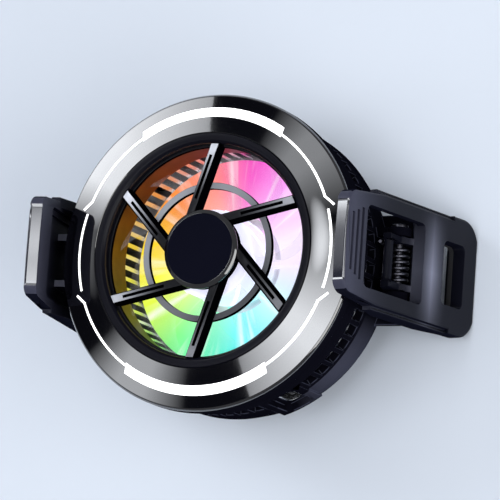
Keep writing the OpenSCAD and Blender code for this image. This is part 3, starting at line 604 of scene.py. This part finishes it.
def turned(profile, closed=True, round_by=0.0):
    """A profile of radius and height, spun about the fan's axis, with its sharp edges rounded."""
    shape = bmesh.new()
    corners = [shape.verts.new((r, 0.0, z)) for r, z in profile]
    pairs = list(zip(corners, corners[1:]))
    if closed:
        pairs.append((corners[-1], corners[0]))
    edges = [shape.edges.new(pair) for pair in pairs]
    bmesh.ops.spin(
        shape, geom=corners + edges, cent=(0, 0, 0), axis=(0, 0, 1), dvec=(0, 0, 0),
        angle=2 * math.pi, steps=sizes().turn_steps, use_merge=True)
    bmesh.ops.remove_doubles(shape, verts=shape.verts, dist=1e-7)
    bmesh.ops.recalc_face_normals(shape, faces=shape.faces)
    if round_by:
        sharp = [e for e in shape.edges if e.is_manifold and e.calc_face_angle() > math.radians(12)]
        bmesh.ops.bevel(
            shape, geom=sharp, offset=round_by, affect="EDGES", segments=3, profile=0.5,
            material=-1, clamp_overlap=True)
    return shape


def softened(node, name, material, width, segments, others=(), edges=-1, share=None, picked=None,
             worked=None):
    """A copy of a solid's mesh with its flats joined and its edges rounded, in the solid's place.

    The share of the rounding may differ by edge. Other finishes go on the faces that are picked and on
    the edges, and the shape may be worked on before."""
    source = frame["nodes"][node]
    shape = bmesh.new()
    shape.from_mesh(source.data)
    bmesh.ops.remove_doubles(shape, verts=shape.verts, dist=0.002 * MM)
    bmesh.ops.dissolve_limit(
        shape, angle_limit=math.radians(0.4), use_dissolve_boundaries=False,
        verts=shape.verts, edges=shape.edges, delimit=set())
    if worked:
        worked(shape)
    if share:
        weight = shape.edges.layers.float.new("bevel_weight_edge")
        for edge in shape.edges:
            if edge.is_manifold and edge.calc_face_angle() > math.radians(SHARP):
                edge[weight] = share(edge)
    if picked:
        for face in shape.faces:
            face.material_index = int(picked(face))
    piece = finished(name, shape, material, source["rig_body"], node, sharp=SHARP, others=others)
    bevel = piece.modifiers.new("Rounding", "BEVEL")
    bevel.width = width
    bevel.segments = segments
    bevel.limit_method = "WEIGHT" if share else "ANGLE"
    bevel.angle_limit = math.radians(SHARP)
    bevel.use_clamp_overlap = not share
    bevel.harden_normals = True
    bevel.material = edges
    return piece


def dress(material, *nodes):
    """Gives solids that keep their own shape a finish."""
    for node in nodes:
        mesh = frame["nodes"][node].data
        mesh.materials.clear()
        mesh.materials.append(finish(material))


# Operators


class COOLER_OT_bezel(bpy.types.Operator):
    """Turn the front bezel and the ring inside its lip"""

    bl_idname = "cooler.bezel"
    bl_label = "Bezel"

    def execute(self, context):
        rim, foot, top = span("front_bezel")
        rim -= 0.001 * MM
        ring, ring_foot, _ = span("inner_ring")
        lip = ring + LIP_GAP
        edge = top - CONE_DROP
        wall = 1.6 * MM
        step = 0.4 * MM
        profile = [
            (rim - step, foot), (rim, foot + step), (rim, edge - step),
            (rim - step, edge + step * CONE_DROP / (rim - lip)),
            (lip, top), (lip, top - wall), (rim - wall, edge - wall), (rim - wall, foot),
        ]
        shape = turned(profile, round_by=sizes().bezel_round)
        for face in shape.faces:
            middle = face.calc_center_median()
            outside = middle.xy.length > rim - 0.1 * MM
            face.material_index = int(outside and abs(face.normal.z) < 0.3)
        finished("bezel", shape, "gloss_black", "cooler", "front_bezel", others=("side_black",))
        seat, rim_top = 21.25 * MM, ring_foot + 0.8 * MM
        slope = 0.5 * MM
        profile = [
            (OPENING, rim_top), (OPENING, top - slope), (OPENING + slope, top),
            (ring, top), (ring, ring_foot), (seat, ring_foot), (seat, rim_top),
        ]
        lip_shape = turned(profile, round_by=0.15 * MM)
        finished("lip_ring", lip_shape, "lip_satin", "cooler", "inner_ring")
        return {"FINISHED"}


class COOLER_OT_light_lines(bpy.types.Operator):
    """Lay the lit lines into the bezel's cone"""

    bl_idname = "cooler.light_lines"
    bl_label = "Light lines"

    # Angles from a line's middle, in degrees, and steps in depth and radius
    wide_turn, line_turn, kink_turn, side_turn, slant = 34.0, 68.0, 72.0, 16.5, 1.5
    sunk, kink_step, wide_step = 0.6 * MM, 1.1 * MM, 0.5 * MM

    def execute(self, context):
        self.rim, _, self.top = span("front_bezel")
        self.line = self.rim - sizes().line_inset
        half = sizes().line_width / 2
        for name, turn in (("top", 90.0), ("bottom", -90.0)):
            shape = bmesh.new()
            inner = self.line - self.wide_step
            self.arc(shape, inner, inner + sizes().wide_width, turn, self.wide_turn, 40, self.slant)
            self.arc(shape, self.line - half, self.line + half, turn, self.line_turn, 80)
            for side in (-1, 1):
                self.kink(shape, turn + side * self.line_turn, turn + side * self.kink_turn, self.kink_step)
            finished(name + "_line", shape, "line_white", "cooler", name + "_light_guide")
        for name, turn in (("left", 180.0), ("right", 0.0)):
            shape = bmesh.new()
            self.arc(shape, self.line - half, self.line + half, turn, self.side_turn, 24)
            finished(name + "_line", shape, "line_white", "cooler", name + "_light_guide")
        return {"FINISHED"}

    def height(self, radius):
        lip = span("inner_ring")[0] + LIP_GAP
        return self.top - CONE_DROP * (radius - lip) / (self.rim - lip)

    def arc(self, shape, inner, outer, middle, half_turn, steps, slant=0.0):
        """A bar of four corners, spun through an arc on the cone, whose ends may slant."""
        before = set(shape.verts)
        start = Matrix.Rotation(math.radians(middle - half_turn), 3, "Z")
        proud = sizes().line_proud
        corners = [
            (inner, self.height(inner) - self.sunk), (outer, self.height(outer) - self.sunk),
            (outer, self.height(outer) + proud), (inner, self.height(inner) + proud),
        ]
        section = shape.faces.new([shape.verts.new(start @ Vector((r, 0.0, z))) for r, z in corners])
        bmesh.ops.spin(
            shape, geom=[section, *section.edges, *section.verts], cent=(0, 0, 0), axis=(0, 0, 1),
            dvec=(0, 0, 0), angle=math.radians(2 * half_turn), steps=steps)
        for side in (-1, 1):
            to_end = Matrix.Rotation(math.radians(middle + side * half_turn), 3, "Z")
            end = to_end @ Vector((outer, 0.0, 0.0))
            corners = [
                v for v in shape.verts
                if v not in before and (v.co.xy - end.xy).length < 0.02 * MM]
            pulled = Matrix.Rotation(math.radians(-side * slant), 3, "Z")
            bmesh.ops.rotate(shape, cent=(0, 0, 0), matrix=pulled, verts=corners)
        bmesh.ops.recalc_face_normals(shape, faces=shape.faces)

    def kink(self, shape, start_turn, end_turn, step):
        """A short bar from the end of a line, outwards on the cone."""
        ends = []
        for turn, radius in ((start_turn, self.line), (end_turn, self.line + step)):
            angle = math.radians(turn)
            ends.append(Vector((radius * math.cos(angle), radius * math.sin(angle), self.height(radius))))
        along = ends[1] - ends[0]
        ahead = along.normalized()
        across = Vector((0, 0, 1)).cross(ahead).normalized()
        up = ahead.cross(across)
        turned_to = Matrix((ahead, across, up)).transposed().to_4x4()
        proud = sizes().line_proud
        thick = self.sunk + proud
        middle = (ends[0] + ends[1]) / 2 + up * (proud - thick / 2)
        size = Matrix.Diagonal((along.length + sizes().line_width, sizes().line_width, thick, 1.0))
        bmesh.ops.create_cube(shape, size=1.0, matrix=Matrix.Translation(middle) @ turned_to @ size)


class COOLER_OT_housing(bpy.types.Operator):
    """Round the vent ring, the rear shell and the port"""

    bl_idname = "cooler.housing"
    bl_label = "Housing"

    # Where the outer edges are, and how much of the rounding the vents' upright edges take
    seam, seam_half, inner_radius, short = 20.0 * MM, 0.7 * MM, 26.5 * MM, 0.4 * MM
    vent_foot, upright_share = 19.0 * MM, 0.3

    def execute(self, context):
        width = sizes().shell_round
        # The rounded edges take a pale paint, a painted highlight
        softened(
            "vent_ring", "vent_housing", "ring_grey", width, 2, ("worn_edge", "warm_wall", "slot_black"),
            edges=1, share=self.outside, picked=self.inside)
        softened(
            "rear_shell", "rear_housing", "shell_dark", width, 2, ("worn_edge",), edges=1,
            share=self.outside)
        softened("usb_socket", "port_socket", "steel", 0.06 * MM, 2)
        softened("usb_tongue", "port_tongue", "satin_dark", 0.08 * MM, 2)
        return {"FINISHED"}

    def outside(self, edge):
        """Rounding on the long edges that show from outside, and none within the joints of the housing."""
        first, second = (vert.co for vert in edge.verts)
        middle = (first + second) / 2
        length = edge.calc_length()
        in_seam = abs(middle.z - self.seam) < self.seam_half
        if in_seam or middle.xy.length < self.inner_radius or length < self.short:
            return 0.0
        upright = abs(first.z - second.z) > 0.7 * length
        return self.upright_share if upright and middle.z > self.vent_foot else 1.0

    def inside(self, face):
        """The warm wall around the fan, with a painted glow, the walls behind the fins, black with painted
        shade, and the outside.
        """
        middle = face.calc_center_median().xy
        if abs(face.normal.z) > 0.5 or face.normal.xy.dot(middle) > -0.5 * middle.length:
            return 0
        return 2 if middle.length < OPENING + 0.3 * MM else 3


class COOLER_OT_grille(bpy.types.Operator):
    """Round the spoked grille and turn the hub cap"""

    bl_idname = "cooler.grille"
    bl_label = "Grille"

    # Heights of the slots' floors and below the ring's top, and the shortest edge that is rounded
    slot_floor, ring_foot, short = 34.4 * MM, 32.9 * MM, 0.5 * MM

    def execute(self, context):
        softened(
            "grille", "spoke_grille", "grille_grey", sizes().grille_round, 3, ("slot_black",),
            share=self.rounded, picked=self.in_slot)
        hub, foot, top = span("hub_cap")
        flat = 6.65 * MM
        profile = [(0.0, foot), (flat, foot), (flat, top), (0.0, top)]
        finished("hub_disc", turned(profile, closed=False), "cap_satin", "cooler", "hub_cap")
        profile = [(flat, foot), (hub, foot), (hub, foot + 0.25 * MM), (flat, top)]
        finished("hub_rim", turned(profile, round_by=0.08 * MM), "gloss_black", "cooler")
        return {"FINISHED"}

    def rounded(self, edge):
        """Rounding along the tops of the spokes and the ring, and none at their short edges."""
        low = min(vert.co.z for vert in edge.verts)
        top = any(face.normal.z > 0.9 for face in edge.link_faces)
        return float(top and low > self.ring_foot and edge.calc_length() > self.short)

    def in_slot(self, face):
        """The walls of the spokes and the floors of their slots, which take a painted shade, and the rest.
        """
        floor = abs(face.calc_center_median().z - self.slot_floor) < 0.05 * MM
        return int(floor or abs(face.normal.z) < 0.5)


class COOLER_OT_fan(bpy.types.Operator):
    """Round the clear fan, finish the motor and give its base and board a painted glow"""

    bl_idname = "cooler.fan"
    bl_label = "Fan"

    def execute(self, context):
        softened("fan_rotor", "clear_fan", "clear_plastic", 0.08 * MM, 2)
        dress("steel", "rotor_magnet", "fan_shaft", "shaft_clip", "stator_core")
        dress("copper", "shaft_bearing", "stator_coils")
        # Painted glow: the motor's base and board take the glowing floor's finish, though they give no
        # light
        dress("glow_floor", "motor_base", "motor_board")
        return {"FINISHED"}


class COOLER_OT_glow(bpy.types.Operator):
    """Light the floor under the fan and finish the heat sink"""

    bl_idname = "cooler.glow"
    bl_label = "Glow"

    def execute(self, context):
        dress("glow_floor", "light_plate", "glow_leds")
        dress("lamp_white", "bezel_leds")
        dress("aluminium", "heat_sink")
        return {"FINISHED"}


class COOLER_OT_claws(bpy.types.Operator):
    """Round the two claws and their rubber pads"""

    bl_idname = "cooler.claws"
    bl_label = "Claws"

    # Places on the claw, the bend of its front end, and shares of the rounding
    front_height, lug_top, lug_reach = 42.0 * MM, 30.0 * MM, 35.0 * MM
    half_width, crown_drop = 11.2 * MM, 0.55 * MM
    ledge_foot, ledge_top, ledge_share, small_share = 8.0 * MM, 33.5 * MM, 0.7, 0.12

    def execute(self, context):
        for side, sign in (("right", 1.0), ("left", -1.0)):
            self.outer = Vector((sign * 0.9845, 0.0, 0.1754))
            self.front = Vector((-sign * 0.1754, 0.0, 0.9845))
            softened(
                side + "_claw", side + "_finger", "claw_satin", sizes().claw_round, 4,
                ("claw_side", "polished_edge", "claw_lug"), share=self.share, picked=self.part,
                worked=self.crown)
            softened(side + "_jaw_pad", side + "_pad", "rubber", 0.12 * MM, 2)
        return {"FINISHED"}

    def part(self, face):
        """The claw's sides, the front end that thumbs press, the left claw's lugs, whose upward faces take
        painted light, and the rest.
        """
        middle = face.calc_center_median()
        if abs(face.normal.y) > 0.8:
            return 1
        if face.normal.dot(self.front) > 0.97 and middle.z > self.front_height - 0.2 * MM:
            return 2
        # Painted light: the left claw's upward lug faces take a pale paint
        lug = face.normal.z > 0.5 and middle.z < self.lug_top and -self.lug_reach < middle.x < 0.0
        return 3 if lug else 0

    def crown(self, shape):
        """Cuts the front end across and bends it down a little towards both corners."""
        end = [
            f for f in shape.faces
            if f.normal.dot(self.front) > 0.99 and f.calc_center_median().z > self.front_height]
        around = {e for f in end for e in f.edges}
        geom = [*end, *around, *{v for f in end for v in f.verts}]
        for step in (-10.0, -8.5, -7.0, -5.0, -2.5, 0.0, 2.5, 5.0, 7.0, 8.5, 10.0):
            cut = bmesh.ops.bisect_plane(
                shape, geom=geom, plane_co=(0.0, step * MM, 0.0), plane_no=(0.0, 1.0, 0.0), dist=1e-7)
            geom = cut["geom"]
        for vert in {v for v in geom if isinstance(v, bmesh.types.BMVert)}:
            vert.co -= self.front * self.crown_drop * (vert.co.y / self.half_width) ** 2

    def share(self, edge):
        """Full rounding on the outline of the claw's outer face, less along its ledges and elsewhere."""
        first, second = (face.normal for face in edge.link_faces)
        if first.dot(self.outer) < second.dot(self.outer):
            first, second = second, first
        middle = (edge.verts[0].co + edge.verts[1].co) / 2
        if first.dot(self.outer) < 0.99:
            return self.small_share
        if middle.z > self.front_height or middle.z < 1.0 * MM:
            return 1.0
        if second.y * math.copysign(1.0, middle.y) < 0.2:
            return self.small_share
        return self.ledge_share if self.ledge_foot < middle.z < self.ledge_top else 1.0


class COOLER_OT_hinges(bpy.types.Operator):
    """Round the hinge pins and wind the torsion springs"""

    bl_idname = "cooler.hinges"
    bl_label = "Hinges"

    def execute(self, context):
        for side, sign in (("right", 1.0), ("left", -1.0)):
            softened(side + "_hinge_pin", side + "_pin", "dark_steel", 0.15 * MM, 3)
            self.wind(side, sign)
        return {"FINISHED"}

    def wind(self, side, sign):
        """A leg on the claw's bar, the coil around the pin and a leg on the shell, as one wire."""
        low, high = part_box(side + "_hinge_pin")
        pin = (low + high) / 2
        wire = sizes().wire_radius
        coil, reach = 1.9 * MM, 3.325 * MM
        claw_leg, shell_leg = 5.875 * MM, -2.588 * MM
        start, stop = math.radians(172.18), math.radians(2300.0)
        path = [self.leg(coil, start, claw_leg, reach)]
        steps = 142
        for i in range(steps + 1):
            angle = start + (stop - start) * i / steps
            path.append((coil * math.cos(angle), reach * (1 - 2 * i / steps), coil * math.sin(angle)))
        path.append(self.leg(coil, stop, shell_leg, -reach))
        curve = bpy.data.curves.new(side + "_wire", "CURVE")
        curve.dimensions = "3D"
        curve.bevel_depth = wire
        curve.bevel_resolution = 3
        curve.use_fill_caps = True
        spline = curve.splines.new("POLY")
        spline.points.add(len(path) - 1)
        for point, (x, y, z) in zip(spline.points, path):
            point.co = (pin.x + sign * x, pin.y + y, pin.z + z, 1.0)
        wound = bpy.data.objects.new(side + "_wire", curve)
        bpy.context.scene.collection.objects.link(wound)
        bpy.context.view_layer.update()
        mesh = bpy.data.meshes.new_from_object(wound.evaluated_get(bpy.context.evaluated_depsgraph_get()))
        bpy.data.objects.remove(wound)
        piece = placed(side + "_torsion_spring", mesh, "dark_steel", None, sharp=60.0)
        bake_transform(piece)
        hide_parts(side + "_spring")

    def leg(self, coil, angle, along, y):
        return (
            coil * math.cos(angle) + along * math.sin(angle), y,
            coil * math.sin(angle) - along * math.cos(angle))


class COOLER_OT_inside(bpy.types.Operator):
    """Finish the cooling stack, the boards and the screws"""

    bl_idname = "cooler.inside"
    bl_label = "Inside"

    def execute(self, context):
        dress("ceramic", "hot_ceramic", "cold_ceramic")
        dress("steel", "peltier_pellets")
        dress("foam", "insulation_ring")
        dress("board_green", "led_board", "control_board")
        dress("satin_dark", "control_chips")
        softened("cold_plate", "cold_disc", "aluminium", 0.2 * MM, 3)
        softened("rear_cushion", "cushion_ring", "rubber", 0.12 * MM, 3)
        softened("case_screws", "shell_screws", "steel", 0.08 * MM, 2)
        softened("plate_screws", "disc_screws", "steel", 0.08 * MM, 2)
        return {"FINISHED"}


# Lamps: name, direction from the cooler, distance, width, height, brightness
LAMPS = [
    ("front_right", (0.78, -0.3, 0.55), 0.8, 0.7, 0.6, 3.2),
]

# Panels of the light tent around the view, by the turn of the bezel that mirrors them, in degrees:
# start, share of the brightness at the start, full, fading from, end, brightness
PANELS = [
    (92.0, 0.46, 134.0, 150.0, 171.0, 5.4),
    (219.0, 0.0, 235.0, 247.0, 265.0, 2.6),
    (291.0, 0.35, 320.0, 328.0, 371.0, 5.5),
    (374.0, 0.0, 399.0, 409.0, 425.0, 1.65),
]

# Direction from the cooler to the view
VIEW = Vector((0.4314, -0.1849, 0.8830))

# Spots of the light tent, by the slope that mirrors them towards the view:
# slope's direction, full within and dark beyond these angles, brightness
SPOTS = [
    ((0.1754, 0.02, 0.9843), 0.6, 3.2, 4.4),
    ((-0.1754, 0.0, 0.9845), 1.0, 4.0, 0.6),
]


class COOLER_OT_stage(bpy.types.Operator):
    """Set the floor, the lamps and the camera"""

    bl_idname = "cooler.stage"
    bl_label = "Stage"

    def execute(self, context):
        self.floor()
        self.lamps()
        self.camera()
        context.scene.view_settings.view_transform = "Standard"
        return {"FINISHED"}

    def floor(self):
        shape = bmesh.new()
        bmesh.ops.create_grid(shape, x_segments=1, y_segments=1, size=1.5)
        finished("floor", shape, "pale_floor", None)

    def lamps(self):
        self.tent()
        aim = Vector((0.0, 0.0, 0.025))
        for name, way, distance, width, height, brightness in LAMPS:
            lamp = bpy.data.lights.new(name, "AREA")
            lamp.shape = "RECTANGLE"
            lamp.size, lamp.size_y = width, height
            lamp.energy = brightness * math.pi * width * height
            holder = bpy.data.objects.new(name, lamp)
            bpy.context.scene.collection.objects.link(holder)
            back = Vector(way).normalized()
            centre = Vector((-0.431, 0.185, 0.883))
            inwards = (centre - back * centre.dot(back)).normalized()
            along = inwards.cross(back)
            holder.matrix_world = Matrix.Translation(aim + back * distance) @ Matrix(
                (along, inwards, back)).transposed().to_4x4()

    def tent(self):
        """A dim tent with panels and spots, which the bezel and the claws mirror towards the view."""
        world = bpy.data.worlds.new("studio")
        made = Nodes(world, "BACKGROUND")
        halfway = made.vector("NORMALIZE", made.vector("ADD", made.place(), tuple(VIEW)))
        x, y, z = made.parts(halfway)
        turn = x.math("ARCTAN2", y, x) * (180 / math.pi)
        light = None
        for start, share, full, fade, end, brightness in PANELS:
            middle = (start + end) / 2
            away = turn.math("WRAP", turn - middle, 180.0, -180.0)
            rise = ((away - (start - middle)) / (full - start)).held()
            fall = ((end - middle - away) / (end - fade)).held()
            edge = (away - (start - middle)).over(0.0)
            panel = (share + (1 - share) * rise) * fall * edge * brightness
            light = panel if light is None else light + panel
        flat, flat_fade, far, far_fade = 0.9965, 0.003, 0.9, 0.03
        dim, outside = 0.01, 0.22
        ring = ((flat - z) / flat_fade).held()
        near = ((z - far) / far_fade).held()
        light = ring * light
        for slope, full, dark, brightness in SPOTS:
            inner, outer = math.cos(math.radians(full)), math.cos(math.radians(dark))
            facing = x * slope[0] + y * slope[1] + z * slope[2]
            light = light + ((facing - outer) / (inner - outer)).held() * brightness
        made.surface({
            "Color": (0.93, 0.955, 1.0),
            "Strength": near * (light + dim) + (1.0 - near) * outside,
        })
        bpy.context.scene.world = world

    def camera(self):
        lens = bpy.data.cameras.new("camera")
        lens.sensor_width = 36.0
        lens.lens = 288.0
        lens.clip_start, lens.clip_end = 0.01, 10.0
        holder = bpy.data.objects.new("camera", lens)
        bpy.context.scene.collection.objects.link(holder)
        right = Vector((0.9020, 0.0710, -0.4258))
        up = Vector((0.0160, 0.9802, 0.1974))
        back = right.cross(up)
        distance = 0.753
        target = right * -6.06 * MM + up * 6.873 * MM + back * 17.66 * MM
        holder.matrix_world = Matrix.Translation(target + back * distance) @ Matrix(
            (right, up, back)).transposed().to_4x4()
        bpy.context.scene.camera = holder


class COOLER_PT_panel(bpy.types.Panel):
    """Buttons and settings of the cooler"""

    bl_label = "Phone cooler"
    bl_idname = "COOLER_PT_panel"
    bl_space_type = "VIEW_3D"
    bl_region_type = "UI"
    bl_category = "Cooler"

    def draw(self, context):
        layout = self.layout
        for operator in OPERATORS:
            layout.operator(operator.bl_idname)
        for group in (context.scene.cooler_sizes, context.scene.cooler_colours):
            for key in group.__annotations__:
                layout.prop(group, key)


OPERATORS = (
    COOLER_OT_stage, COOLER_OT_bezel, COOLER_OT_light_lines, COOLER_OT_housing, COOLER_OT_grille,
    COOLER_OT_fan, COOLER_OT_glow, COOLER_OT_claws, COOLER_OT_hinges, COOLER_OT_inside,
)
CLASSES = (CoolerSizes, CoolerColours, *OPERATORS, COOLER_PT_panel)


def register():
    for item in CLASSES:
        bpy.utils.register_class(item)
    bpy.types.Scene.cooler_sizes = PointerProperty(type=CoolerSizes)
    bpy.types.Scene.cooler_colours = PointerProperty(type=CoolerColours)


def unregister():
    del bpy.types.Scene.cooler_colours
    del bpy.types.Scene.cooler_sizes
    for item in reversed(CLASSES):
        bpy.utils.unregister_class(item)


def main():
    register()
    for operator in OPERATORS:
        getattr(bpy.ops.cooler, operator.bl_idname.split(".")[1])()


if __name__ == "__main__":
    main()
